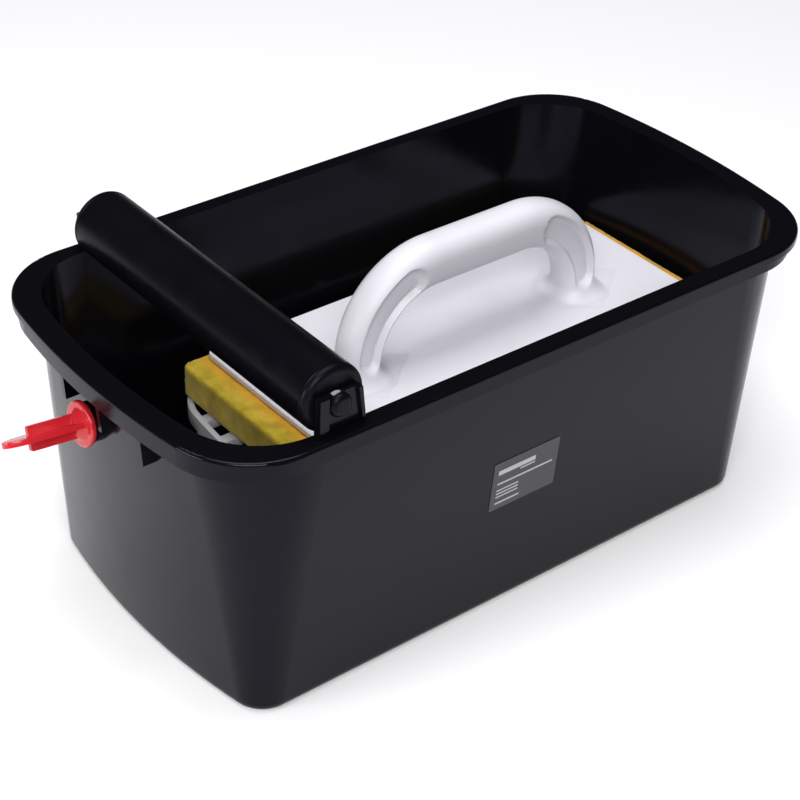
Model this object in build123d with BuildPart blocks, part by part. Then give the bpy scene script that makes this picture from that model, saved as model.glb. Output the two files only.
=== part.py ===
"""Tile-grout wash set: a tub with a wringing roller, a drain plug, a drip stand and a sponge float.

Millimetres, +Z up, +X along the tub away from the roller. The origin is the centre of the
tub's underside. Each separate piece is one labelled solid, written to parts/ under its name.
"""
from build123d import *
import math
import os

os.makedirs("parts", exist_ok=True)

# ---------------------------------------------------------------- driving dimensions
# tub, outlines given as half length, half width, bow of the ends and corner radius
tub_height = 176.0
rim_half_x = 214.0
rim_half_y = 114.8
rim_bow = 13.0
rim_corner = 48.0
rim_thickness = 5.0
rim_edge_round = 2.0
rim_width_end = 13.2
rim_width_side = 10.4
skirt_height = 9.0
skirt_set_in_end = 1.6
skirt_set_in_side = 4.3
wall_end_gap = 12.0
wall_side_gap = 3.8
wall_corner = 53.0
wall_bow = 12.5
taper_end = 13.5
taper_side = 13.0
base_bow = 11.2
base_corner = 18.0
base_round = 6.0
wall = 3.0
floor = 3.0
mouth_corner = 46.0
end_rib_pitch = 36.0
end_rib_offset = -2.0
end_rib_count = 3
end_rib_thickness = 3.0
end_rib_depth = 8.0
end_rib_drop = 20.0

# roller and the brackets that hold its axle
roller_x = -138.0
roller_rise = 15.4
roller_radius = 18.6
roller_end_gap = 0.5
sleeve_end = 4.0
cap_round = 3.5
seam_chamfer = 0.35
core_radius = 15.0
core_wall = 2.0
cap_spigot = 12.0
journal_radius = 3.0
slot_clearance = 0.1
bush_clearance = 0.05
bush_radius = 5.5
bush_length = 9.0
button_radius = 6.5
button_length = 3.8
button_dome = 3.0
button_seat_gap = 0.1
button_skin = 1.2
axle_chamfer = 0.5
bracket_set_out = 0.3
bracket_depth = 5.0
bracket_plate = 3.0
bracket_top = 21.7
bracket_left = 12.3
bracket_right = 16.3
bracket_lean = 3.3
bracket_cheek_left = 5.4
bracket_cheek_right = 2.4
bracket_corner = 4.0
bracket_lead = 0.6

# drain plug in the end wall under the rim, turned about its own line as it was pushed in
plug_y = 18.5
plug_drop = 42.2
plug_tilt = 6.0
plug_turn = 28.0
plug_boss_radius = 11.0
plug_boss_height = 4.0
plug_seat_gap = 0.1
plug_clearance = 0.08
plug_flange_radius = 12.5
plug_flange_thickness = 3.4
plug_flange_round = 1.2
plug_spigot_radius = 8.0
plug_spigot_length = 16.0
plug_spigot_bore = 5.5
plug_spigot_chamfer = 1.2
plug_hub_radius = 9.0
plug_hub_length = 4.5
plug_hub_taper = 40.0
plug_blade_length = 44.0
plug_blade_tip = 16.0
plug_blade_half = 8.0
plug_fin_length = 29.5
plug_fin_half = 6.6
plug_fin_round = 1.2
plug_web = 3.0
washer_radius = 10.6
washer_thickness = 1.6

# drip stand
stand_x = 28.0
stand_half_x = 148.5
stand_half_y = 78.0
stand_bow = 9.0
stand_corner = 30.0
stand_drop = 91.0
stand_rim_depth = 9.0
stand_rim_width = 3.2
stand_bar = 6.5
stand_bar_depth = 6.0
stand_bar_pitch = 22.0
stand_bar_count = 5
stand_cross_pitch = 62.0
stand_cross_count = 5
stand_leg_half = 47.0
stand_leg_thickness = 3.0
stand_floor_gap = 0.3

# float
board_x = 42.0
board_length = 276.0
board_width = 138.0
board_thickness = 3.2
board_corner = 5.0
board_edge_round = 1.0
sponge_left = 15.5
sponge_right = 8.4
sponge_side = 1.4
sponge_thickness = 21.3
sponge_corner = 3.0
sponge_corner_right = 15.0
sponge_gap = 0.3
glue = 0.4
glue_margin = 3.0
handle_x = 39.0
handle_height = 73.0
handle_clear = 44.5
handle_half = 92.5
handle_bend_out = 60.0
handle_bend_in = 38.0
handle_in_centre = 30.5
handle_width = 25.0
handle_round = 10.5
groove_out = 8.5
groove_in = 7.5
groove_depth = 4.5
groove_start = 10.0
groove_end = 50.0
foot_flare = 6.0
foot_overlap = 1.0
on_face = 0.02

# label on the long wall
label_x = -8.0
label_z = 91.0
label_length = 46.5
label_height = 33.0
label_thickness = 0.3
label_corner = 1.0


# ---------------------------------------------------------------- shared outlines
def bowed_face(z, half_x, half_y, bow, corner, x=0.0):
    """Flat face at height z: straight long sides, bowed ends, round corners."""
    end_radius = (bow ** 2 + half_y ** 2) / (2 * bow)
    centre_y = half_y - corner
    centre_x = half_x - end_radius
    corner_x = centre_x + math.sqrt((end_radius - corner) ** 2 - centre_y ** 2)
    turn = math.atan2(centre_y, corner_x - centre_x)
    middle = (turn + math.pi / 2) / 2
    join = (centre_x + end_radius * math.cos(turn), end_radius * math.sin(turn))
    bulge = (corner_x + corner * math.cos(middle), centre_y + corner * math.sin(middle))
    with BuildSketch(Plane.XY.offset(z)) as outline:
        with BuildLine():
            Line((x - corner_x, half_y), (x + corner_x, half_y))
            ThreePointArc((x + corner_x, half_y), (x + bulge[0], bulge[1]), (x + join[0], join[1]))
            ThreePointArc((x + join[0], join[1]), (x + half_x, 0), (x + join[0], -join[1]))
            ThreePointArc((x + join[0], -join[1]), (x + bulge[0], -bulge[1]), (x + corner_x, -half_y))
            Line((x + corner_x, -half_y), (x - corner_x, -half_y))
            ThreePointArc((x - corner_x, -half_y), (x - bulge[0], -bulge[1]), (x - join[0], -join[1]))
            ThreePointArc((x - join[0], -join[1]), (x - half_x, 0), (x - join[0], join[1]))
            ThreePointArc((x - join[0], join[1]), (x - bulge[0], bulge[1]), (x - corner_x, half_y))
        make_face()
    return outline.sketch


def save(part, name):
    """Label one finished piece and write its STEP file."""
    part.label = name
    export_step(part, f"parts/{name}.step")


# ---------------------------------------------------------------- tub
wall_top_x = rim_half_x - wall_end_gap
wall_top_y = rim_half_y - wall_side_gap
base_x = wall_top_x - taper_end
base_y = wall_top_y - taper_side
rim_under = tub_height - rim_thickness
skirt_under = rim_under - skirt_height
skirt_x = rim_half_x - skirt_set_in_end
skirt_y = rim_half_y - skirt_set_in_side
skirt_corner = rim_corner - skirt_set_in_end
mouth_x = rim_half_x - rim_width_end
mouth_y = rim_half_y - rim_width_side

# heights that follow the rim
roller_z = tub_height + roller_rise
plug_z = tub_height - plug_drop
stand_top = tub_height - stand_drop


def wall_body(grow):
    """Solid inside the tapered outer wall, moved outward by grow."""
    with BuildPart() as body:
        loft(
            sections=[
                bowed_face(0, base_x + grow, base_y + grow, base_bow, base_corner + grow),
                bowed_face(tub_height, wall_top_x + grow, wall_top_y + grow, wall_bow, wall_corner + grow),
            ],
            ruled=True,
        )
    return body.part


# shallow ribs stand on both end walls and run down from the skirt
with BuildPart() as rib_blanks:
    with Locations((0, end_rib_offset, skirt_under - end_rib_drop / 2)):
        with GridLocations(rim_half_x + base_x, end_rib_pitch, 2, end_rib_count):
            Box(rim_half_x - base_x + 2 * end_rib_depth, end_rib_thickness, end_rib_drop)

with BuildPart() as end_ribs:
    add(wall_body(end_rib_depth))
    add(rib_blanks.part, mode=Mode.INTERSECT)

# the plug, its boss and its bore share one line, tipped up a little from level
wall_x_at_plug = wall_top_x - (tub_height - plug_z) * taper_end / tub_height
tilt = math.radians(plug_tilt)
turn = math.radians(plug_turn)
plug_wall = Plane(
    (-wall_x_at_plug, plug_y, plug_z),
    x_dir=(math.sin(turn) * math.sin(tilt), -math.cos(turn), math.sin(turn) * math.cos(tilt)),
    z_dir=(-math.cos(tilt), 0, math.sin(tilt)),
)

# uprights on the rim, seen along Y, with a seat for the axle
bracket_in = mouth_y + bracket_set_out
bracket_z = tub_height + bracket_top
slot_half = journal_radius + slot_clearance


def bracket_shape(plane, left, right, lean, low, high, corner):
    """Upright seen along Y: square left side, right side leaning in by lean, round top corner."""
    with BuildSketch(plane) as outline:
        with BuildLine():
            Polyline((left, low), (left, high), (right - lean, high), (right, low), close=True)
        make_face()
        if corner:
            fillet(outline.vertices().group_by(Axis.Z)[-1].sort_by(Axis.X)[-1], corner)
    return outline.sketch


def bracket_slot(plane):
    """Open slot that the journal drops into, wider at its mouth."""
    left = roller_x - slot_half
    right = roller_x + slot_half
    lead = bracket_z - bracket_lead
    mouth = bracket_z + bracket_lead
    with BuildSketch(plane) as outline:
        with BuildLine():
            Polyline(
                (left, roller_z),
                (left, lead),
                (left - 2 * bracket_lead, mouth),
                (right + 2 * bracket_lead, mouth),
                (right, lead),
                (right, roller_z),
            )
            ThreePointArc((right, roller_z), (roller_x, roller_z - slot_half), (left, roller_z))
        make_face()
    return outline.sketch


with BuildPart() as bracket:
    rim_face = Plane((0, -bracket_in, 0), x_dir=(1, 0, 0), z_dir=(0, -1, 0))
    foot_left = roller_x - bracket_left
    foot_right = roller_x + bracket_right
    extrude(
        bracket_shape(rim_face, foot_left, foot_right, bracket_lean, rim_under, bracket_z, bracket_corner),
        amount=bracket_depth,
    )
    extrude(
        bracket_shape(
            rim_face.offset(bracket_plate),
            foot_left + bracket_cheek_left,
            foot_right - bracket_cheek_right,
            bracket_lean,
            tub_height,
            bracket_z + bracket_lead,
            0,
        ),
        amount=bracket_depth,
        mode=Mode.SUBTRACT,
    )
    extrude(bracket_slot(rim_face), amount=bracket_plate, mode=Mode.SUBTRACT)

with BuildPart() as tub:
    add(wall_body(0))
    fillet(tub.faces().sort_by(Axis.Z)[0].edges(), base_round)
    extrude(bowed_face(rim_under, rim_half_x, rim_half_y, rim_bow, rim_corner), amount=rim_thickness)
    fillet(tub.faces().sort_by(Axis.Z)[-1].outer_wire().edges(), rim_edge_round)
    extrude(bowed_face(skirt_under, skirt_x, skirt_y, rim_bow, skirt_corner), amount=skirt_height)
    add(end_ribs.part)
    with BuildSketch(plug_wall.offset(plug_boss_height)):
        Circle(plug_boss_radius)
    extrude(amount=-plug_boss_height - wall)
    loft(
        sections=[
            bowed_face(floor, base_x - wall, base_y - wall, base_bow, base_corner - wall),
            bowed_face(tub_height, mouth_x, mouth_y, rim_bow, mouth_corner),
        ],
        ruled=True,
        mode=Mode.SUBTRACT,
    )
    with BuildSketch(plug_wall.offset(plug_boss_height)):
        Circle(plug_spigot_radius + plug_clearance)
    extrude(amount=-plug_boss_height - plug_spigot_length, mode=Mode.SUBTRACT)
    add(bracket.part)
    add(mirror(bracket.part, about=Plane.XZ, mode=Mode.PRIVATE))

save(tub.part, "tub")

# ---------------------------------------------------------------- label on the near long wall
side_lean = math.atan2(taper_side, tub_height)
label_y = wall_top_y - (tub_height - label_z) * taper_side / tub_height
label_plane = Plane(
    (label_x, -label_y, label_z),
    x_dir=(1, 0, 0),
    z_dir=(0, -math.cos(side_lean), -math.sin(side_lean)),
)

with BuildPart() as tub_label:
    with BuildSketch(label_plane):
        RectangleRounded(label_length, label_height, label_corner)
    extrude(amount=label_thickness)

save(tub_label.part, "tub_label")

# ---------------------------------------------------------------- drain plug and its washer
with BuildPart() as plug_washer:
    with BuildSketch(plug_wall.offset(plug_boss_height + plug_seat_gap)):
        Circle(washer_radius)
        Circle(plug_spigot_radius, mode=Mode.SUBTRACT)
    extrude(amount=washer_thickness)

save(plug_washer.part, "plug_washer")

flange_back = plug_boss_height + plug_seat_gap + washer_thickness
flange_face = flange_back + plug_flange_thickness
blade_plane = Plane(plug_wall.origin, x_dir=plug_wall.z_dir, z_dir=plug_wall.y_dir)
fin_plane = Plane(plug_wall.origin, x_dir=plug_wall.z_dir, z_dir=plug_wall.x_dir)

with BuildPart() as plug_body:
    with BuildSketch(plug_wall.offset(flange_back)):
        Circle(plug_flange_radius)
    extrude(amount=plug_flange_thickness)
    fillet(plug_body.edges(), plug_flange_round)
    with BuildSketch(plug_wall.offset(flange_face)):
        Circle(plug_hub_radius)
    extrude(amount=plug_hub_length, taper=plug_hub_taper)
    with BuildSketch(blade_plane):
        blade_straight = plug_blade_length - plug_blade_tip
        with Locations((flange_face + blade_straight / 2, 0)):
            Rectangle(blade_straight, 2 * plug_blade_half)
        with Locations((flange_face + blade_straight, 0)):
            Ellipse(plug_blade_tip, plug_blade_half)
    extrude(amount=plug_web / 2, both=True)
    with BuildSketch(fin_plane):
        with Locations((flange_face + plug_fin_length / 2, 0)):
            RectangleRounded(plug_fin_length, 2 * plug_fin_half, plug_fin_round)
    extrude(amount=plug_web / 2, both=True)
    with BuildSketch(plug_wall.offset(flange_back)):
        Circle(plug_spigot_radius)
    extrude(amount=-plug_spigot_length)
    spigot_end = plug_body.faces().sort_by(Axis.X)[-1]
    chamfer(spigot_end.edges(), plug_spigot_chamfer)
    with BuildSketch(plug_wall.offset(flange_back - plug_spigot_length)):
        Circle(plug_spigot_bore)
    extrude(amount=plug_spigot_length, mode=Mode.SUBTRACT)

save(plug_body.part, "plug_body")

# ---------------------------------------------------------------- wringing roller
# every turned piece is a ring or a rod along Y, placed by the distance of its near end
def rod(y_start, y_end, radius, bore=0.0):
    """Round rod or ring about the roller axis between two places along Y."""
    face = Plane((roller_x, y_start, roller_z), x_dir=(1, 0, 0), z_dir=(0, 1, 0))
    with BuildPart() as piece:
        with BuildSketch(face):
            Circle(radius)
            if bore:
                Circle(bore, mode=Mode.SUBTRACT)
        extrude(amount=y_end - y_start)
    return piece.part


cap_face = bracket_in - roller_end_gap
sleeve_half = cap_face - sleeve_end
bore_radius = core_radius - core_wall
button_seat = bracket_in + bracket_plate + button_seat_gap
rod_half = button_seat + button_length - button_skin

with BuildPart() as roller_core:
    add(rod(-sleeve_half, sleeve_half, core_radius, bore_radius))

save(roller_core.part, "roller_core")

with BuildPart() as roller_sleeve:
    add(rod(-sleeve_half, sleeve_half, roller_radius, core_radius))
    outer_edges = roller_sleeve.edges().filter_by(GeomType.CIRCLE).group_by(SortBy.RADIUS)[-1]
    chamfer(outer_edges, seam_chamfer)

save(roller_sleeve.part, "roller_sleeve")

with BuildPart() as roller_axle:
    add(rod(-rod_half, rod_half, journal_radius))
    chamfer(roller_axle.edges(), axle_chamfer)

save(roller_axle.part, "roller_axle")

for side, name in ((-1, "near"), (1, "far")):
    outer_face = Plane((roller_x, side * sleeve_half, roller_z), x_dir=(1, 0, 0), z_dir=(0, side, 0))
    with BuildPart() as cap:
        with BuildSketch(outer_face):
            Circle(roller_radius)
        extrude(amount=sleeve_end)
        rim_edges = cap.edges().filter_by(GeomType.CIRCLE).sort_by(Axis((0, 0, 0), (0, side, 0)))
        chamfer(rim_edges[0], seam_chamfer)
        fillet(rim_edges[-1], cap_round)
        with BuildSketch(outer_face):
            Circle(bore_radius)
        extrude(amount=-cap_spigot)
        with BuildSketch(outer_face.offset(sleeve_end)):
            Circle(bush_radius)
        extrude(amount=-sleeve_end - cap_spigot, mode=Mode.SUBTRACT)
    save(cap.part, f"roller_cap_{name}")

    with BuildPart() as bush:
        with BuildSketch(outer_face.offset(sleeve_end)):
            Circle(bush_radius)
            Circle(journal_radius + bush_clearance, mode=Mode.SUBTRACT)
        extrude(amount=-bush_length)
    save(bush.part, f"roller_bush_{name}")

    button_back = outer_face.offset(button_seat - sleeve_half)
    with BuildPart() as button:
        with BuildSketch(button_back):
            Circle(button_radius)
        extrude(amount=button_length)
        dome = button.faces().filter_by(Axis.Y).sort_by(Axis.Y)[0 if side < 0 else -1]
        fillet(dome.edges(), button_dome)
        with BuildSketch(button_back):
            Circle(journal_radius)
        extrude(amount=rod_half - button_seat, mode=Mode.SUBTRACT)
    save(button.part, f"axle_button_{name}")

# ---------------------------------------------------------------- drip stand
plate_under = stand_top - stand_rim_depth
leg_foot = floor + stand_floor_gap


def stand_face(z, inset):
    """Outline of the stand at height z, moved inward by inset."""
    return bowed_face(
        z,
        stand_half_x - inset,
        stand_half_y - inset,
        stand_bow,
        stand_corner - inset,
        stand_x,
    )


with BuildPart() as bar_blanks:
    with Locations((stand_x, 0, stand_top - stand_bar_depth / 2)):
        with GridLocations(1, stand_bar_pitch, 1, stand_bar_count):
            Box(2 * stand_half_x, stand_bar, stand_bar_depth)
        with GridLocations(stand_cross_pitch, 1, stand_cross_count, 1):
            Box(stand_bar, 2 * stand_half_y, stand_bar_depth)

with BuildPart() as stand_bars:
    extrude(stand_face(stand_top - stand_bar_depth, 0), amount=stand_bar_depth)
    add(bar_blanks.part, mode=Mode.INTERSECT)

with BuildPart() as leg_blanks:
    with Locations((stand_x, 0, stand_top / 2)):
        Box(2 * stand_half_x, 2 * stand_leg_half, stand_top)

with BuildPart() as stand_legs:
    extrude(stand_face(leg_foot, 0), amount=stand_top - leg_foot)
    extrude(stand_face(leg_foot, stand_leg_thickness), amount=stand_top - leg_foot, mode=Mode.SUBTRACT)
    add(leg_blanks.part, mode=Mode.INTERSECT)

with BuildPart() as drip_stand:
    extrude(stand_face(plate_under, 0), amount=stand_rim_depth)
    extrude(stand_face(plate_under, stand_rim_width), amount=stand_rim_depth, mode=Mode.SUBTRACT)
    add(stand_bars.part)
    add(stand_legs.part)

save(drip_stand.part, "drip_stand")

# ---------------------------------------------------------------- float
sponge_under = stand_top + sponge_gap
sponge_top = sponge_under + sponge_thickness
board_under = sponge_top + glue
board_top = board_under + board_thickness
sponge_length = board_length + sponge_left + sponge_right
sponge_x = board_x + (sponge_right - sponge_left) / 2
grip_top = board_top + handle_height
grip_under = board_top + handle_clear
outer_z = grip_top - handle_bend_out
outer_x = handle_half - handle_bend_out
inner_z = grip_under - handle_bend_in

with BuildPart() as float_sponge:
    with BuildSketch(Plane.XY.offset(sponge_under)):
        with Locations((sponge_x, 0)):
            Rectangle(sponge_length, board_width + 2 * sponge_side)
    extrude(amount=sponge_thickness)
    upright_edges = float_sponge.edges().filter_by(Axis.Z).group_by(Axis.X)
    fillet(upright_edges[0], sponge_corner)
    fillet(upright_edges[-1], sponge_corner_right)

save(float_sponge.part, "float_sponge")

with BuildPart() as float_adhesive:
    with BuildSketch(Plane.XY.offset(sponge_top)):
        with Locations((board_x, 0)):
            RectangleRounded(board_length - 2 * glue_margin, board_width - 2 * glue_margin, board_corner)
    extrude(amount=glue)

save(float_adhesive.part, "float_adhesive")


def arch(plane, out, into, low):
    """Band of the bow handle seen along Y, set in by out outside and by into inside."""
    far = outer_x
    bend = handle_bend_out - out
    rise = outer_z + bend
    inner = handle_in_centre
    inner_bend = handle_bend_in + into
    inner_rise = inner_z + inner_bend
    diagonal = math.sqrt(0.5)
    with BuildSketch(plane) as band:
        with BuildLine():
            Line((handle_x - far - bend, low), (handle_x - far - bend, outer_z))
            ThreePointArc(
                (handle_x - far - bend, outer_z),
                (handle_x - far - bend * diagonal, outer_z + bend * diagonal),
                (handle_x - far, rise),
            )
            Line((handle_x - far, rise), (handle_x + far, rise))
            ThreePointArc(
                (handle_x + far, rise),
                (handle_x + far + bend * diagonal, outer_z + bend * diagonal),
                (handle_x + far + bend, outer_z),
            )
            Line((handle_x + far + bend, outer_z), (handle_x + far + bend, low))
            Line((handle_x + far + bend, low), (handle_x + inner + inner_bend, low))
            Line((handle_x + inner + inner_bend, low), (handle_x + inner + inner_bend, inner_z))
            ThreePointArc(
                (handle_x + inner + inner_bend, inner_z),
                (handle_x + inner + inner_bend * diagonal, inner_z + inner_bend * diagonal),
                (handle_x + inner, inner_rise),
            )
            Line((handle_x + inner, inner_rise), (handle_x - inner, inner_rise))
            ThreePointArc(
                (handle_x - inner, inner_rise),
                (handle_x - inner - inner_bend * diagonal, inner_z + inner_bend * diagonal),
                (handle_x - inner - inner_bend, inner_z),
            )
            Line((handle_x - inner - inner_bend, inner_z), (handle_x - inner - inner_bend, low))
            Line((handle_x - inner - inner_bend, low), (handle_x - far - bend, low))
        make_face()
    return band.sketch


def leg_groove(plane):
    """Hollow along each leg and round most of its bend, between the outer band and the inner ridge."""
    with BuildSketch(plane) as hollow:
        add(arch(plane, groove_out, groove_in, board_top + groove_start))
        with Locations((handle_x, grip_under)):
            Rectangle(2 * groove_end, 4 * handle_height, mode=Mode.SUBTRACT)
    return hollow.sketch


side_face = Plane((0, -handle_width / 2, 0), x_dir=(1, 0, 0), z_dir=(0, -1, 0))
other_face = Plane((0, handle_width / 2, 0), x_dir=(1, 0, 0), z_dir=(0, -1, 0))

with BuildPart() as handle_bow:
    extrude(arch(side_face, 0, 0, board_top - foot_overlap), amount=-handle_width)
    side_edges = handle_bow.faces().filter_by(Axis.Y).edges()
    fillet(side_edges.filter_by(lambda edge: edge.center().Z > board_top), handle_round)
    extrude(leg_groove(side_face), amount=-groove_depth, mode=Mode.SUBTRACT)
    extrude(leg_groove(other_face), amount=groove_depth, mode=Mode.SUBTRACT)

with BuildPart() as float_body:
    with BuildSketch(Plane.XY.offset(board_under)):
        with Locations((board_x, 0)):
            RectangleRounded(board_length, board_width, board_corner)
    extrude(amount=board_thickness)
    fillet(float_body.faces().sort_by(Axis.Z)[-1].edges(), board_edge_round)
    add(handle_bow.part)
    board_face_edges = float_body.edges().filter_by_position(Axis.Z, board_top - on_face, board_top + on_face)
    foot_edges = board_face_edges.filter_by_position(Axis.Y, -handle_width, handle_width)
    foot_reach = handle_half + foot_flare
    fillet(foot_edges.filter_by_position(Axis.X, handle_x - foot_reach, handle_x + foot_reach), foot_flare)

save(float_body.part, "float_body")
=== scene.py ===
"""Tile-grout wash set: glossy black tub, wringing roller, red drain plug, drip stand and a sponge float."""

import math

import bmesh
import bpy
from mathutils import Matrix, Vector, noise


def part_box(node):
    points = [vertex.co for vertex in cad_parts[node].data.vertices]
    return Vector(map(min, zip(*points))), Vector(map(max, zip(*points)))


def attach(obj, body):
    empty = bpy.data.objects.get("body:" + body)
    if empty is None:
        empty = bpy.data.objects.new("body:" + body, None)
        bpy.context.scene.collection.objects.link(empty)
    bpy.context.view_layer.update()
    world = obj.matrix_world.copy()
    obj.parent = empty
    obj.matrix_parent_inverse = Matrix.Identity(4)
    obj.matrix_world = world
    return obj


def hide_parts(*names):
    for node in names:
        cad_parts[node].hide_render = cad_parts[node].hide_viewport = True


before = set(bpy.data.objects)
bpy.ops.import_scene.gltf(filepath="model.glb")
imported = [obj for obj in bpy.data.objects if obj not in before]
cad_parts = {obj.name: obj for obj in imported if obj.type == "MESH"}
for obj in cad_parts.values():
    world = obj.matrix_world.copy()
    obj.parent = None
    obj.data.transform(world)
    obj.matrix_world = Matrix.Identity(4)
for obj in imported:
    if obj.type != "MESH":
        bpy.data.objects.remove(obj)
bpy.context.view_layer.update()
MM = 0.001


# ---------------------------------------------------------------- small helpers
def srgb(code):
    """sRGB hex code as a linear colour, opaque."""
    parts = [int(code[i:i + 2], 16) / 255 for i in (1, 3, 5)]
    linear = [c / 12.92 if c <= 0.04045 else ((c + 0.055) / 1.055) ** 2.4 for c in parts]
    return (*linear, 1.0)


def add_node(tree, kind, links=None, **settings):
    """A node with its settings; inputs are given as links={"Input": value or output socket}."""
    node = tree.nodes.new(kind)
    for name, value in settings.items():
        setattr(node, name, value)
    for name, value in (links or {}).items():
        socket = node.inputs[name]
        if isinstance(value, bpy.types.NodeSocket):
            tree.links.new(value, socket)
        else:
            socket.default_value = value
    return node


def new_material(name, **surface):
    """A Principled material with constant values set on the shader's own sockets."""
    material = bpy.data.materials.new(name)
    material.use_nodes = True
    tree = material.node_tree
    shader = tree.nodes["Principled BSDF"]
    for socket, value in surface.items():
        shader.inputs[socket.replace("_", " ")].default_value = value
    return material, tree, shader


def object_coordinates(tree):
    """Places in metres on the piece itself, so a pattern moves with it."""
    return add_node(tree, "ShaderNodeTexCoord").outputs["Object"]


def pattern_size(millimetres):
    """Noise scale on Object coordinates, in metres, for features of this size."""
    return 1 / (millimetres * MM)


def piece_from(name, mesh, body, material, replaces=()):
    """A finished piece at the origin with its material, riding on its body; it may stand for CAD nodes."""
    piece = bpy.data.objects.new(name, mesh)
    bpy.context.scene.collection.objects.link(piece)
    mesh.materials.clear()
    mesh.materials.append(material)
    for polygon in mesh.polygons:
        polygon.material_index = 0
    if replaces:
        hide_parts(*replaces)
    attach(piece, body)
    return piece


def smooth_by_angle(mesh, degrees):
    """Smooth shading, with edges sharper than this angle kept sharp."""
    mesh.shade_smooth()
    mesh.set_sharp_from_angle(angle=math.radians(degrees))


def mesh_from(name, vertices, faces):
    """A mesh from points and faces, in metres."""
    mesh = bpy.data.meshes.new(name)
    mesh.from_pydata([tuple(v) for v in vertices], [], faces)
    mesh.validate()
    mesh.update()
    return mesh


def evaluated_mesh(name, obj):
    """The object's mesh with its modifiers made real; the object is removed."""
    graph = bpy.context.evaluated_depsgraph_get()
    mesh = bpy.data.meshes.new_from_object(obj.evaluated_get(graph))
    mesh.name = name
    bpy.data.objects.remove(obj)
    return mesh


def bound_rings(rings):
    """A closed shell through rings of equal length; each runs anticlockwise about the way the rings go."""
    count = len(rings[0])
    vertices = [point for ring in rings for point in ring]
    faces = []
    for r in range(len(rings) - 1):
        for i in range(count):
            j = (i + 1) % count
            faces.append((r * count + i, r * count + j, (r + 1) * count + j, (r + 1) * count + i))
    last = (len(rings) - 1) * count
    faces.append(tuple(reversed(range(count))))
    faces.append(tuple(last + i for i in range(count)))
    return vertices, faces


MERGE_DISTANCE = 0.02 * MM
FLAT_ANGLE = 0.5
ROUNDED_ANGLE = 30
SOFTENED_SHARP_ANGLE = 40


def softened(node, width, segments=2):
    """A merged copy of a CAD node's mesh with its hard edges rounded by a small bevel."""
    copy = bpy.data.objects.new("work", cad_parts[node].data.copy())
    bpy.context.scene.collection.objects.link(copy)
    shape = bmesh.new()
    shape.from_mesh(copy.data)
    bmesh.ops.remove_doubles(shape, verts=shape.verts, dist=MERGE_DISTANCE)
    bmesh.ops.dissolve_limit(
        shape, angle_limit=math.radians(FLAT_ANGLE), verts=shape.verts, edges=shape.edges
    )
    shape.to_mesh(copy.data)
    shape.free()
    bevel = copy.modifiers.new("round", "BEVEL")
    bevel.width = width
    bevel.segments = segments
    bevel.limit_method = "ANGLE"
    bevel.angle_limit = math.radians(ROUNDED_ANGLE)
    mesh = evaluated_mesh(node, copy)
    smooth_by_angle(mesh, SOFTENED_SHARP_ANGLE)
    return mesh


# ---------------------------------------------------------------- camera, light and floor
CAMERA_AZIMUTH = -40.07
CAMERA_ELEVATION = 34.735
CAMERA_DISTANCE = 1.18576
CAMERA_ROLL = 2.669
CAMERA_LENS = 92.54
CAMERA_TARGET = Vector((-0.00491, 0.00544, 0.07571))
CAMERA_SENSOR = 36
CAMERA_CLIP = (0.05, 50)
FLOOR_HALF = 6.0
ROOM_STRENGTH = 0.16
# lamps as name, place and target in metres, width, height and power in watts
LAMPS = (
    ("overhead", (0.0, 0.1, 2.6), (0, 0, 0.1), 2.0, 1.6, 52),
    ("front_fill", (-1.0, -1.3, 1.5), (0, 0, 0.1), 1.2, 0.9, 33),
    ("left_low", (-1.2, 0.15, 0.4), (-0.35, 0.1, 0), 0.5, 0.3, 6),
)


def make_camera():
    """Camera looking at the target from its azimuth and elevation, rolled a little about its own axis."""
    azimuth = math.radians(CAMERA_AZIMUTH)
    elevation = math.radians(CAMERA_ELEVATION)
    back = Vector((
        math.sin(azimuth) * math.cos(elevation),
        -math.cos(azimuth) * math.cos(elevation),
        math.sin(elevation),
    ))
    right = Vector((0, 0, 1)).cross(back).normalized()
    up = back.cross(right)
    turn = Matrix((right, up, back)).transposed().to_4x4()
    camera = bpy.data.objects.new("camera", bpy.data.cameras.new("camera"))
    camera.data.lens = CAMERA_LENS
    camera.data.sensor_width = CAMERA_SENSOR
    camera.data.clip_start, camera.data.clip_end = CAMERA_CLIP
    camera.matrix_world = (
        Matrix.Translation(CAMERA_TARGET + back * CAMERA_DISTANCE)
        @ turn
        @ Matrix.Rotation(math.radians(CAMERA_ROLL), 4, "Z")
    )
    bpy.context.scene.collection.objects.link(camera)
    bpy.context.scene.camera = camera


def area_light(name, place, target, width, height, power):
    """White soft box at a place, facing its target."""
    light = bpy.data.lights.new(name, "AREA")
    light.shape = "RECTANGLE"
    light.size = width
    light.size_y = height
    light.energy = power
    lamp = bpy.data.objects.new(name, light)
    lamp.location = place
    lamp.rotation_euler = (Vector(target) - Vector(place)).to_track_quat("-Z", "Y").to_euler()
    bpy.context.scene.collection.objects.link(lamp)


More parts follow.
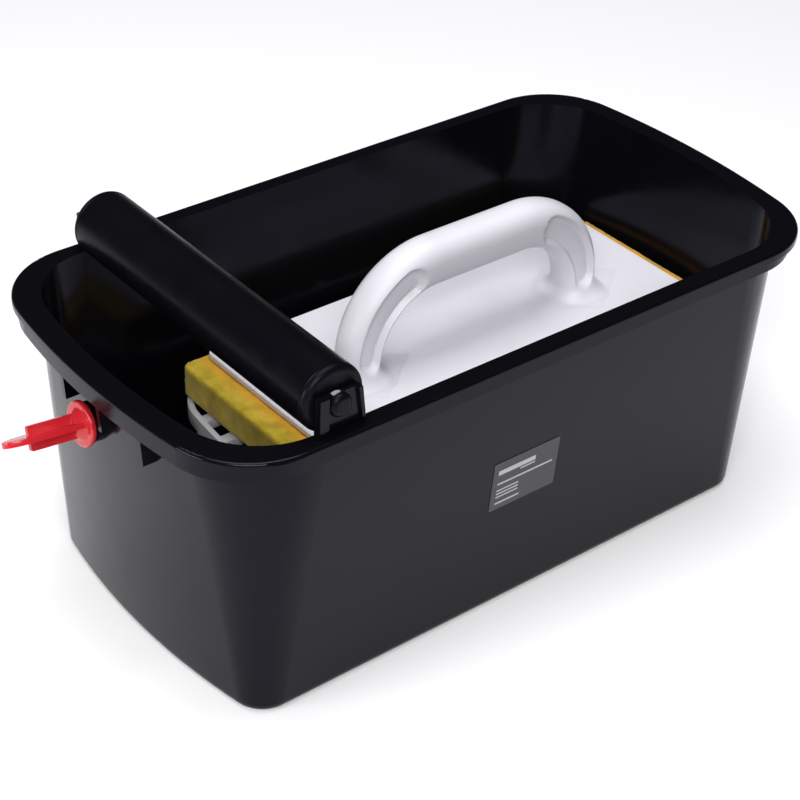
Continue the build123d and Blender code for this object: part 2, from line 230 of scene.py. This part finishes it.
def make_studio():
    """White floor under a dark room: the floor lights the walls, and level glossy faces reflect the dark."""
    world = bpy.data.worlds.new("studio")
    bpy.context.scene.world = world
    world.use_nodes = True
    tree = world.node_tree
    room = tree.nodes["Background"]
    room.inputs["Color"].default_value = srgb("#6f7282")
    room.inputs["Strength"].default_value = ROOM_STRENGTH
    backdrop = add_node(tree, "ShaderNodeBackground", {"Color": srgb("#f6f6f8"), "Strength": 1.0})
    seen = add_node(tree, "ShaderNodeLightPath")
    mix = add_node(
        tree, "ShaderNodeMixShader",
        {0: seen.outputs["Is Camera Ray"], 1: room.outputs["Background"], 2: backdrop.outputs["Background"]},
    )
    tree.links.new(mix.outputs["Shader"], tree.nodes["World Output"].inputs["Surface"])
    for lamp in LAMPS:
        area_light(*lamp)
    corners = [(x * FLOOR_HALF, y * FLOOR_HALF, 0) for x, y in ((-1, -1), (1, -1), (1, 1), (-1, 1))]
    paper = bpy.data.objects.new("floor", mesh_from("floor", corners, [(0, 1, 2, 3)]))
    bpy.context.scene.collection.objects.link(paper)
    paper.data.materials.append(studio_paper())
    bpy.context.scene.view_settings.view_transform = "Standard"


# ---------------------------------------------------------------- materials
BLACK_IOR = 1.49
COLOURED_IOR = 1.5
ORANGE_BAND_REACH = 9 * MM
ORANGE_BAND_DEPTH = 3.5 * MM
# sockets of the Mix node that hold its two colours and give the mixed one
FIRST, SECOND, MIXED = 6, 7, 2


def studio_paper():
    """Matt white paper sweep with a faint uneven tooth, glowing a little as if lit from below as well."""
    material, tree, shader = new_material(
        "studio_paper", Base_Color=srgb("#f7f7f8"), Roughness=0.9,
        Emission_Color=srgb("#ffffff"), Emission_Strength=0.12,
    )
    tooth = add_node(
        tree, "ShaderNodeTexNoise",
        {"Vector": object_coordinates(tree), "Scale": pattern_size(4), "Detail": 2.0},
    )
    bump = add_node(
        tree, "ShaderNodeBump", {"Height": tooth.outputs["Fac"], "Strength": 0.03, "Distance": 0.2 * MM}
    )
    tree.links.new(bump.outputs["Normal"], shader.inputs["Normal"])
    return material


def gloss_polypropylene():
    """Polypropylene, injection moulded in a polished tool: deep black, glossy, with a faint uneven flow."""
    material, tree, shader = new_material(
        "gloss_polypropylene_moulded", Base_Color=srgb("#09090d"), IOR=BLACK_IOR, Roughness=0.17,
        Specular_IOR_Level=0.15, Specular_Tint=srgb("#e2e0ff"),
    )
    place = object_coordinates(tree)
    flow = add_node(
        tree, "ShaderNodeTexNoise",
        {"Vector": place, "Scale": pattern_size(35), "Detail": 3.0, "Roughness": 0.55},
    )
    rough = add_node(
        tree, "ShaderNodeMapRange",
        {"Value": flow.outputs["Fac"], "From Min": 0.3, "From Max": 0.7, "To Min": 0.12, "To Max": 0.22},
    )
    peel = add_node(
        tree, "ShaderNodeTexNoise", {"Vector": place, "Scale": pattern_size(9), "Detail": 2.0}
    )
    bump = add_node(
        tree, "ShaderNodeBump", {"Height": peel.outputs["Fac"], "Strength": 0.05, "Distance": 0.3 * MM}
    )
    tree.links.new(rough.outputs["Result"], shader.inputs["Roughness"])
    tree.links.new(bump.outputs["Normal"], shader.inputs["Normal"])
    return material


def satin_black(name, roughness, grain_mm, depth):
    """Black plastic with a fine moulded or extruded grain that spreads its highlights."""
    material, tree, shader = new_material(
        name, Base_Color=srgb("#09090d"), IOR=BLACK_IOR, Roughness=roughness,
        Specular_IOR_Level=0.11, Specular_Tint=srgb("#e2e0ff"),
    )
    place = object_coordinates(tree)
    grain = add_node(
        tree, "ShaderNodeTexNoise", {"Vector": place, "Scale": pattern_size(grain_mm), "Detail": 4.0}
    )
    wear = add_node(tree, "ShaderNodeTexNoise", {"Vector": place, "Scale": pattern_size(22), "Detail": 3.0})
    rough = add_node(
        tree, "ShaderNodeMapRange",
        {"Value": wear.outputs["Fac"], "From Min": 0.3, "From Max": 0.7,
         "To Min": roughness - 0.05, "To Max": roughness + 0.08},
    )
    bump = add_node(
        tree, "ShaderNodeBump", {"Height": grain.outputs["Fac"], "Strength": depth, "Distance": 0.1 * MM}
    )
    tree.links.new(rough.outputs["Result"], shader.inputs["Roughness"])
    tree.links.new(bump.outputs["Normal"], shader.inputs["Normal"])
    return material


def moulded_plastic(name, colour, darker, roughness, subsurface=0.0):
    """Coloured plastic, injection moulded: nearly even colour, with soft flow marks in gloss and tint."""
    material, tree, shader = new_material(
        name, Base_Color=srgb(colour), IOR=COLOURED_IOR, Roughness=roughness
    )
    if subsurface:
        shader.inputs["Subsurface Weight"].default_value = subsurface
        shader.inputs["Subsurface Radius"].default_value = (3 * MM, 2.4 * MM, 2 * MM)
        shader.inputs["Subsurface Scale"].default_value = 1.0
    place = object_coordinates(tree)
    flow = add_node(
        tree, "ShaderNodeTexNoise", {"Vector": place, "Scale": pattern_size(28), "Detail": 4.0}
    )
    tint = add_node(tree, "ShaderNodeMix", data_type="RGBA")
    tree.links.new(flow.outputs["Fac"], tint.inputs["Factor"])
    tint.inputs[FIRST].default_value = srgb(darker)
    tint.inputs[SECOND].default_value = srgb(colour)
    tree.links.new(tint.outputs[MIXED], shader.inputs["Base Color"])
    rough = add_node(
        tree, "ShaderNodeMapRange",
        {"Value": flow.outputs["Fac"], "From Min": 0.3, "From Max": 0.7,
         "To Min": max(0.04, roughness - 0.06), "To Max": roughness + 0.06},
    )
    tree.links.new(rough.outputs["Result"], shader.inputs["Roughness"])
    peel = add_node(tree, "ShaderNodeTexNoise", {"Vector": place, "Scale": pattern_size(1.6), "Detail": 3.0})
    bump = add_node(
        tree, "ShaderNodeBump", {"Height": peel.outputs["Fac"], "Strength": 0.08, "Distance": 0.1 * MM}
    )
    tree.links.new(bump.outputs["Normal"], shader.inputs["Normal"])
    return material


def sponge_foam():
    """Open-cell hydro sponge, cast and sawn: matt ochre foam with painted shade in its pores, orange along its
    top next to the board.
    """
    material, tree, shader = new_material("hydro_sponge_sawn", Base_Color=srgb("#c9a92c"), Roughness=0.95)
    shader.inputs["Sheen Weight"].default_value = 0.2
    shader.inputs["Specular IOR Level"].default_value = 0.2
    place = object_coordinates(tree)
    blotch = add_node(tree, "ShaderNodeTexNoise", {"Vector": place, "Scale": pattern_size(12), "Detail": 6.0})
    ramp = add_node(tree, "ShaderNodeValToRGB", {"Fac": blotch.outputs["Fac"]})
    ramp.color_ramp.elements[0].position = 0.35
    ramp.color_ramp.elements[0].color = srgb("#b3961f")
    ramp.color_ramp.elements[1].position = 0.68
    ramp.color_ramp.elements[1].color = srgb("#dabf3e")
    # orange along the top few millimetres of the foam, fading out past the board's left end
    foam_axes = add_node(tree, "ShaderNodeSeparateXYZ", {"Vector": place})
    board_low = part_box("float_body")[0]
    foam_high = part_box("float_sponge")[1]
    by_end = add_node(
        tree, "ShaderNodeMapRange",
        {"Value": foam_axes.outputs["X"], "From Min": board_low.x - ORANGE_BAND_REACH, "From Max": board_low.x - MM},
    )
    by_top = add_node(
        tree, "ShaderNodeMapRange",
        {"Value": foam_axes.outputs["Z"], "From Min": foam_high.z - ORANGE_BAND_DEPTH, "From Max": foam_high.z - MM},
    )
    both = add_node(
        tree, "ShaderNodeMath", {0: by_end.outputs["Result"], 1: by_top.outputs["Result"]},
        operation="MULTIPLY",
    )
    patchy = add_node(
        tree, "ShaderNodeMath", {0: both.outputs[0], 1: blotch.outputs["Fac"]}, operation="MULTIPLY"
    )
    orange_band = add_node(tree, "ShaderNodeMix", data_type="RGBA")
    tree.links.new(patchy.outputs[0], orange_band.inputs["Factor"])
    tree.links.new(ramp.outputs["Color"], orange_band.inputs[FIRST])
    orange_band.inputs[SECOND].default_value = srgb("#d9820f")
    cells = add_node(
        tree, "ShaderNodeTexVoronoi", {"Vector": place, "Scale": pattern_size(0.9)}, feature="F1"
    )
    # painted shade: the foam colour is darkened towards the middle of each small pore cell
    painted_pore_shade = add_node(
        tree, "ShaderNodeMapRange",
        {"Value": cells.outputs["Distance"], "From Min": 0.0, "From Max": 0.4, "To Min": 0.72, "To Max": 1.0},
    )
    shade = add_node(tree, "ShaderNodeMix", data_type="RGBA", blend_type="MULTIPLY")
    shade.inputs["Factor"].default_value = 1.0
    tree.links.new(orange_band.outputs[MIXED], shade.inputs[FIRST])
    tree.links.new(painted_pore_shade.outputs["Result"], shade.inputs[SECOND])
    tree.links.new(shade.outputs[MIXED], shader.inputs["Base Color"])
    bump = add_node(
        tree, "ShaderNodeBump", {"Height": cells.outputs["Distance"], "Strength": 0.5, "Distance": 0.4 * MM}
    )
    tree.links.new(bump.outputs["Normal"], shader.inputs["Normal"])
    return material


def drawn_steel():
    """Bright steel rod, drawn: fine lines along the rod stretch its highlights."""
    material, tree, shader = new_material(
        "steel_rod_drawn", Base_Color=srgb("#b9bbbe"), Metallic=1.0, Roughness=0.28
    )
    mapping = add_node(
        tree, "ShaderNodeMapping", {"Vector": object_coordinates(tree), "Scale": (1.0, 0.02, 1.0)}
    )
    lines = add_node(
        tree, "ShaderNodeTexNoise",
        {"Vector": mapping.outputs["Vector"], "Scale": pattern_size(0.25), "Detail": 2.0},
    )
    bump = add_node(
        tree, "ShaderNodeBump", {"Height": lines.outputs["Fac"], "Strength": 0.15, "Distance": 0.02 * MM}
    )
    tree.links.new(bump.outputs["Normal"], shader.inputs["Normal"])
    return material


# ---------------------------------------------------------------- float: board and bow handle
BOARD_THICKNESS = 3.2 * MM
BOARD_CORNER = 5 * MM
BOARD_EDGE = 1 * MM
HANDLE_SET_LEFT = 3 * MM
BEND_OUT = 60 * MM
BEND_IN = 38 * MM
BEND_OUT_CENTRE = (32.5 * MM, 13 * MM)
BEND_IN_CENTRE = (30.5 * MM, 6.5 * MM)
HANDLE_HALF_WIDTH = 12.5 * MM
SECTION_POWER = 2.35
FLARE = 10 * MM
BAND_OUT = 6.5 * MM
BAND_IN = 6.5 * MM
GROOVE_DEPTH = 4.6 * MM
GROOVE_WALL = 3.2 * MM
GROOVE_LOW = -2 * MM
GROOVE_HIGH = 64 * MM
SECTION_POINTS = 96
SECTION_FADE = 2.5
LEG_STEPS, BEND_STEPS, GRIP_STEPS = 18, 44, 8
LEG_CROWDING = 1.6
HANDLE_SUNK = 0.4 * MM
CORNER_STEPS = 8
EDGE_STEPS = 4
# foot pad: half length and half width of each ring, and its height over the board, in mm
PAD_RINGS = ((38, 27, -0.3), (38, 27, 0.0), (35.5, 24.8, 0.3))
FLOAT_SHARP_ANGLE = 35


def bow_stations():
    """Half of the bow from the board to the middle of the grip: outer point, inner point and run along it."""
    stations = []
    out_x, out_z = BEND_OUT_CENTRE
    in_x, in_z = BEND_IN_CENTRE
    mean_bend = (BEND_OUT + BEND_IN) / 2
    for step in range(LEG_STEPS):
        share = (step / LEG_STEPS) ** LEG_CROWDING
        outer = Vector((out_x + BEND_OUT, out_z * share))
        inner = Vector((in_x + BEND_IN, in_z * share))
        stations.append((outer, inner, (share - 1) * (out_z + in_z) / 2))
    for step in range(BEND_STEPS):
        angle = math.pi / 2 * step / BEND_STEPS
        turn = Vector((math.cos(angle), math.sin(angle)))
        outer = Vector(BEND_OUT_CENTRE) + BEND_OUT * turn
        inner = Vector(BEND_IN_CENTRE) + BEND_IN * turn
        stations.append((outer, inner, mean_bend * angle))
    for step in range(GRIP_STEPS + 1):
        share = 1 - step / GRIP_STEPS
        outer = Vector((out_x * share, out_z + BEND_OUT))
        inner = Vector((in_x * share, in_z + BEND_IN))
        stations.append((outer, inner, mean_bend * math.pi / 2 + out_x * (1 - share)))
    return stations


def smooth_step(value):
    """0 below 0, 1 above 1 and an easy curve between."""
    value = min(1.0, max(0.0, value))
    return value * value * (3 - 2 * value)


def groove_depth(across, along, thick):
    """Depth of the side hollow at a place across the bow, from its inner face, and along it."""
    low, high = BAND_IN, thick - BAND_OUT
    middle, half = (low + high) / 2, (high - low) / 2
    past_end = max(0.0, along - (GROOVE_HIGH - half), GROOVE_LOW + half - along)
    inside = half + GROOVE_WALL / 2 - math.hypot(across - middle, past_end)
    return GROOVE_DEPTH * smooth_step(inside / GROOVE_WALL)


def bow_ring(outer, inner, along, side):
    """One rounded cross-section of the bow; side is 1 for the right half and -1 for the left."""
    thick = (outer - inner).length
    height = max(0.0, (outer.y + inner.y) / 2)
    rise = max(0.0, FLARE - height)
    flare = FLARE - math.sqrt(FLARE * FLARE - rise * rise)
    centre = (outer + inner) / 2
    radial = (outer - inner) / thick
    points = []
    for k in range(SECTION_POINTS):
        angle = 2 * math.pi * k / SECTION_POINTS
        c, s = math.cos(angle), math.sin(angle)
        out = math.copysign(abs(c) ** (2 / SECTION_POWER), c) * thick / 2
        wide = abs(s) ** (2 / SECTION_POWER) * HANDLE_HALF_WIDTH
        wide -= groove_depth(thick / 2 + out, along, thick) * smooth_step(SECTION_FADE * abs(s))
        out *= 1 + 2 * flare / thick
        wide *= 1 + flare / HANDLE_HALF_WIDTH
        place = centre + radial * out
        points.append(Vector((side * place.x, math.copysign(wide, s), place.y)))
    return points


def joined(name, shells):
    """One mesh from several closed shells, each a list of vertices and a list of faces."""
    vertices, faces = [], []
    for shell_vertices, shell_faces in shells:
        start = len(vertices)
        vertices += shell_vertices
        faces += [tuple(start + i for i in face) for face in shell_faces]
    mesh = mesh_from(name, vertices, faces)
    shape = bmesh.new()
    shape.from_mesh(mesh)
    bmesh.ops.recalc_face_normals(shape, faces=shape.faces)
    shape.to_mesh(mesh)
    shape.free()
    return mesh


def rounded_outline(half_x, half_y, corner, z, centre, right_corner=None):
    """Points of a rectangle with round corners, anticlockwise seen from above; the right pair may differ."""
    points = []
    right = right_corner or corner
    for quarter, (way_x, way_y, radius) in enumerate(
        ((1, 1, right), (-1, 1, corner), (-1, -1, corner), (1, -1, right))
    ):
        for step in range(CORNER_STEPS + 1):
            angle = math.pi / 2 * (quarter + step / CORNER_STEPS)
            points.append(Vector((
                centre.x + way_x * (half_x - radius) + radius * math.cos(angle),
                centre.y + way_y * (half_y - radius) + radius * math.sin(angle),
                z,
            )))
    return points


def board_shell(low, high):
    """Flat board with a small round along its top edge."""
    centre = (low + high) / 2
    half = (high - low) / 2
    top = low.z + BOARD_THICKNESS
    rings = [rounded_outline(half.x, half.y, BOARD_CORNER, low.z, centre)]
    for step in range(EDGE_STEPS + 1):
        angle = math.pi / 2 * step / EDGE_STEPS
        inset = BOARD_EDGE * (1 - math.cos(angle))
        z = top - BOARD_EDGE * (1 - math.sin(angle))
        rings.append(rounded_outline(half.x - inset, half.y - inset, BOARD_CORNER - inset, z, centre))
    return bound_rings(rings)


def foot_pad_shell(centre, top):
    """Low four-cornered pad under a foot, its corners along and across the board."""
    rings = []
    for half_x, half_y, rise in PAD_RINGS:
        ring = [Vector((centre.x + half_x * MM * x, centre.y + half_y * MM * y, top + rise * MM))
                for x, y in ((1, 0), (0, 1), (-1, 0), (0, -1))]
        rings.append(ring)
    return bound_rings(rings)


def make_float_body(material):
    """Board, foot pads and bow handle, moulded in one."""
    low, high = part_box("float_body")
    top = low.z + BOARD_THICKNESS
    base = Vector(((low.x + high.x) / 2 - HANDLE_SET_LEFT, (low.y + high.y) / 2, top))
    half = bow_stations()
    rings = [bow_ring(*station, 1) for station in half]
    rings += [bow_ring(*station, -1) for station in reversed(half[:-1])]
    sunk = Vector((0, 0, -HANDLE_SUNK))
    rings = [[point + sunk for point in rings[0]]] + rings + [[point + sunk for point in rings[-1]]]
    rings = [[point + base for point in ring] for ring in rings]
    leg_x = (BEND_OUT_CENTRE[0] + BEND_OUT + BEND_IN_CENTRE[0] + BEND_IN) / 2
    shells = [board_shell(low, high), bound_rings(rings)]
    for side in (-1, 1):
        shells.append(foot_pad_shell(base + Vector((side * leg_x, 0, 0)), top))
    mesh = joined("float_board_and_handle", shells)
    smooth_by_angle(mesh, FLOAT_SHARP_ANGLE)
    piece_from("float_board_and_handle", mesh, "float", material, ["float_body"])


# ---------------------------------------------------------------- float: sponge
SPONGE_VOXEL = 1.25 * MM
SPONGE_INSET = 0.35 * MM
SPONGE_CORNER = 3 * MM
SPONGE_CORNER_RIGHT = 15 * MM
PORE_CELL = 3.4 * MM
PORE_DEPTH = 1.3 * MM
PORE_SHARE = 0.42
PORE_WIDTH = 0.42
PORE_LEAST = 0.4
RELAX_STEPS = 6
# slow and fine swell of the sawn faces, as size of the waves and their height
SLOW_SWELL = (16 * MM, 0.25 * MM)
FINE_SWELL = (2.6 * MM, 0.22 * MM)
# a cell's own number is read away from the corners of the noise lattice
CELL_STRIDE = 7.3
CELL_SHIFT = Vector((3.1, 5.7, 9.2))


def make_sponge(material):
    """Sawn foam block: a fine open surface, softly worn edges and torn pores."""
    low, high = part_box("float_sponge")
    centre = (low + high) / 2
    half = (high - low) / 2 - Vector((1, 1, 1)) * SPONGE_INSET
    rings = [
        rounded_outline(half.x, half.y, SPONGE_CORNER, centre.z + side * half.z, centre, SPONGE_CORNER_RIGHT)
        for side in (-1, 1)
    ]
    block = bpy.data.objects.new("work", joined("block", [bound_rings(rings)]))
    bpy.context.scene.collection.objects.link(block)
    remesh = block.modifiers.new("cells", "REMESH")
    remesh.mode = "VOXEL"
    remesh.voxel_size = SPONGE_VOXEL
    relax = block.modifiers.new("relax", "SMOOTH")
    relax.iterations = RELAX_STEPS
    mesh = evaluated_mesh("float_sponge_foam", block)
    mesh.update()
    normals = [vertex.normal.copy() for vertex in mesh.vertices]
    for vertex, normal in zip(mesh.vertices, normals):
        place = vertex.co
        swell = sum(noise.noise(place / wave) * height for wave, height in (SLOW_SWELL, FINE_SWELL))
        distances, cells = noise.voronoi(place / PORE_CELL)
        chance = noise.cell(cells[0] * CELL_STRIDE + CELL_SHIFT)
        pore = 0.0
        if chance < PORE_SHARE:
            pore = PORE_DEPTH * smooth_step(1 - distances[0] / PORE_WIDTH) * (PORE_LEAST + chance)
        vertex.co = place + normal * (swell - pore)
    mesh.shade_smooth()
    piece = piece_from("float_sponge_foam", mesh, "float", material, ["float_sponge"])


# ---------------------------------------------------------------- label print
TUB_HEIGHT = 176.0
TUB_DRAFT = 13.0
LABEL_LEAN = math.atan2(TUB_DRAFT, TUB_HEIGHT)
LABEL_THICKNESS = 0.3 * MM
PRINT_THICKNESS = 0.12 * MM
# rows of print as left edge, height of the first row, length, row height, count and pitch,
# in mm from the label's centre
PRINT_ROWS = (
    (-19.5, 9.2, 26.0, 3.0, 1, 0.0),
    (-4.0, 6.2, 10.5, 0.9, 1, 0.0),
    (-19.5, 1.4, 39.0, 1.1, 1, 0.0),
    (-19.5, -3.2, 15.5, 0.9, 3, 2.3),
    (-19.5, -12.2, 17.0, 1.1, 1, 0.0),
)


def print_rows_tree(material):
    """Geometry Nodes: equal bars in rows down the label, standing for lines of print."""
    tree = bpy.data.node_groups.new("print_rows", "GeometryNodeTree")
    for name in ("Left", "Top", "Length", "Height", "Pitch"):
        tree.interface.new_socket(name, in_out="INPUT", socket_type="NodeSocketFloat")
    tree.interface.new_socket("Count", in_out="INPUT", socket_type="NodeSocketInt")
    tree.interface.new_socket("Rows", in_out="OUTPUT", socket_type="NodeSocketGeometry")
    given = add_node(tree, "NodeGroupInput")
    half = add_node(tree, "ShaderNodeMath", {0: given.outputs["Length"], 1: 0.5}, operation="MULTIPLY")
    middle = add_node(tree, "ShaderNodeMath", {0: given.outputs["Left"], 1: half.outputs[0]}, operation="ADD")
    down = add_node(tree, "ShaderNodeMath", {0: given.outputs["Pitch"], 1: -1.0}, operation="MULTIPLY")
    start = add_node(tree, "ShaderNodeCombineXYZ", {"X": middle.outputs[0], "Y": given.outputs["Top"]})
    step = add_node(tree, "ShaderNodeCombineXYZ", {"Y": down.outputs[0]})
    size = add_node(
        tree, "ShaderNodeCombineXYZ",
        {"X": given.outputs["Length"], "Y": given.outputs["Height"], "Z": PRINT_THICKNESS},
    )
    rows = add_node(
        tree, "GeometryNodeMeshLine",
        {"Count": given.outputs["Count"], "Start Location": start.outputs[0], "Offset": step.outputs[0]},
    )
    bar = add_node(tree, "GeometryNodeMeshCube", {"Size": size.outputs[0]})
    placed = add_node(
        tree, "GeometryNodeInstanceOnPoints",
        {"Points": rows.outputs["Mesh"], "Instance": bar.outputs["Mesh"]},
    )
    real = add_node(tree, "GeometryNodeRealizeInstances", {"Geometry": placed.outputs["Instances"]})
    painted = add_node(
        tree, "GeometryNodeSetMaterial", {"Geometry": real.outputs["Geometry"], "Material": material}
    )
    add_node(tree, "NodeGroupOutput", {"Rows": painted.outputs["Geometry"]})
    return tree


def make_label_print(material):
    """Blank bars of print on the label film; they say nothing."""
    low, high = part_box("tub_label")
    outward = Vector((0, -math.cos(LABEL_LEAN), -math.sin(LABEL_LEAN)))
    up = Vector((0, -math.sin(LABEL_LEAN), math.cos(LABEL_LEAN)))
    centre = (low + high) / 2 + outward * (LABEL_THICKNESS / 2)
    turn = Matrix((Vector((1, 0, 0)), up, outward)).transposed().to_4x4()
    tree = print_rows_tree(material)
    sockets = {item.name: item.identifier for item in tree.interface.items_tree if item.in_out == "INPUT"}
    shape = bmesh.new()
    for left, top, length, height, count, pitch in PRINT_ROWS:
        holder = bpy.data.objects.new("work", bpy.data.meshes.new("work"))
        bpy.context.scene.collection.objects.link(holder)
        rows = holder.modifiers.new("rows", "NODES")
        rows.node_group = tree
        values = {
            "Left": left * MM, "Top": top * MM, "Length": length * MM,
            "Height": height * MM, "Pitch": pitch * MM, "Count": count,
        }
        for name, value in values.items():
            rows[sockets[name]] = value
        shape.from_mesh(evaluated_mesh("rows", holder))
    mesh = bpy.data.meshes.new("label_print")
    shape.to_mesh(mesh)
    shape.free()
    mesh.transform(Matrix.Translation(centre) @ turn)
    piece_from("label_print", mesh, "tub", material)


# ---------------------------------------------------------------- make everything
make_camera()
make_studio()

tub_plastic = gloss_polypropylene()
sleeve_plastic = satin_black("roller_sleeve_extruded_pvc", 0.3, 0.9, 0.08)
cap_plastic = satin_black("cap_nylon_moulded", 0.36, 0.7, 0.1)
rubber = satin_black("washer_rubber_moulded", 0.6, 0.5, 0.2)
film = moulded_plastic("label_film_printed", "#29282d", "#252429", 0.34)
print_ink = moulded_plastic("label_ink_screen_printed", "#b4b3ba", "#a9a8af", 0.45)
red_plastic = moulded_plastic("plug_polypropylene_red_moulded", "#c4262f", "#b61e27", 0.2, 0.12)
stand_plastic = moulded_plastic("stand_polypropylene_grey_moulded", "#c9c8cc", "#bdbcc1", 0.38)
float_plastic = moulded_plastic("float_abs_white_moulded", "#e3e1e8", "#dcdae2", 0.42, 0.1)
nylon = moulded_plastic("bush_nylon_turned", "#e2dfd4", "#d6d2c5", 0.4)
core_plastic = moulded_plastic("core_tube_extruded", "#7a7a7c", "#6d6d70", 0.5)
foam = sponge_foam()
steel = drawn_steel()

finishes = {
    "tub": tub_plastic, "tub_label": film, "plug_washer": rubber, "roller_axle": steel,
    "axle_button_near": cap_plastic, "axle_button_far": cap_plastic, "roller_core": core_plastic,
    "roller_sleeve": sleeve_plastic, "roller_cap_near": cap_plastic, "roller_cap_far": cap_plastic,
    "roller_bush_near": nylon, "roller_bush_far": nylon, "float_adhesive": nylon, "float_body": float_plastic,
    "float_sponge": foam, "drip_stand": stand_plastic, "plug_body": red_plastic,
}
for node, material in finishes.items():
    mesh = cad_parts[node].data
    mesh.materials.clear()
    mesh.materials.append(material)

EDGE_ROUND = 0.7 * MM
make_float_body(float_plastic)
make_sponge(foam)
make_label_print(print_ink)
piece_from(
    "drip_stand_moulded", softened("drip_stand", EDGE_ROUND), "stand",
    stand_plastic, ["drip_stand"],
)
piece_from(
    "plug_moulded", softened("plug_body", EDGE_ROUND, segments=3), "plug",
    red_plastic, ["plug_body"],
)
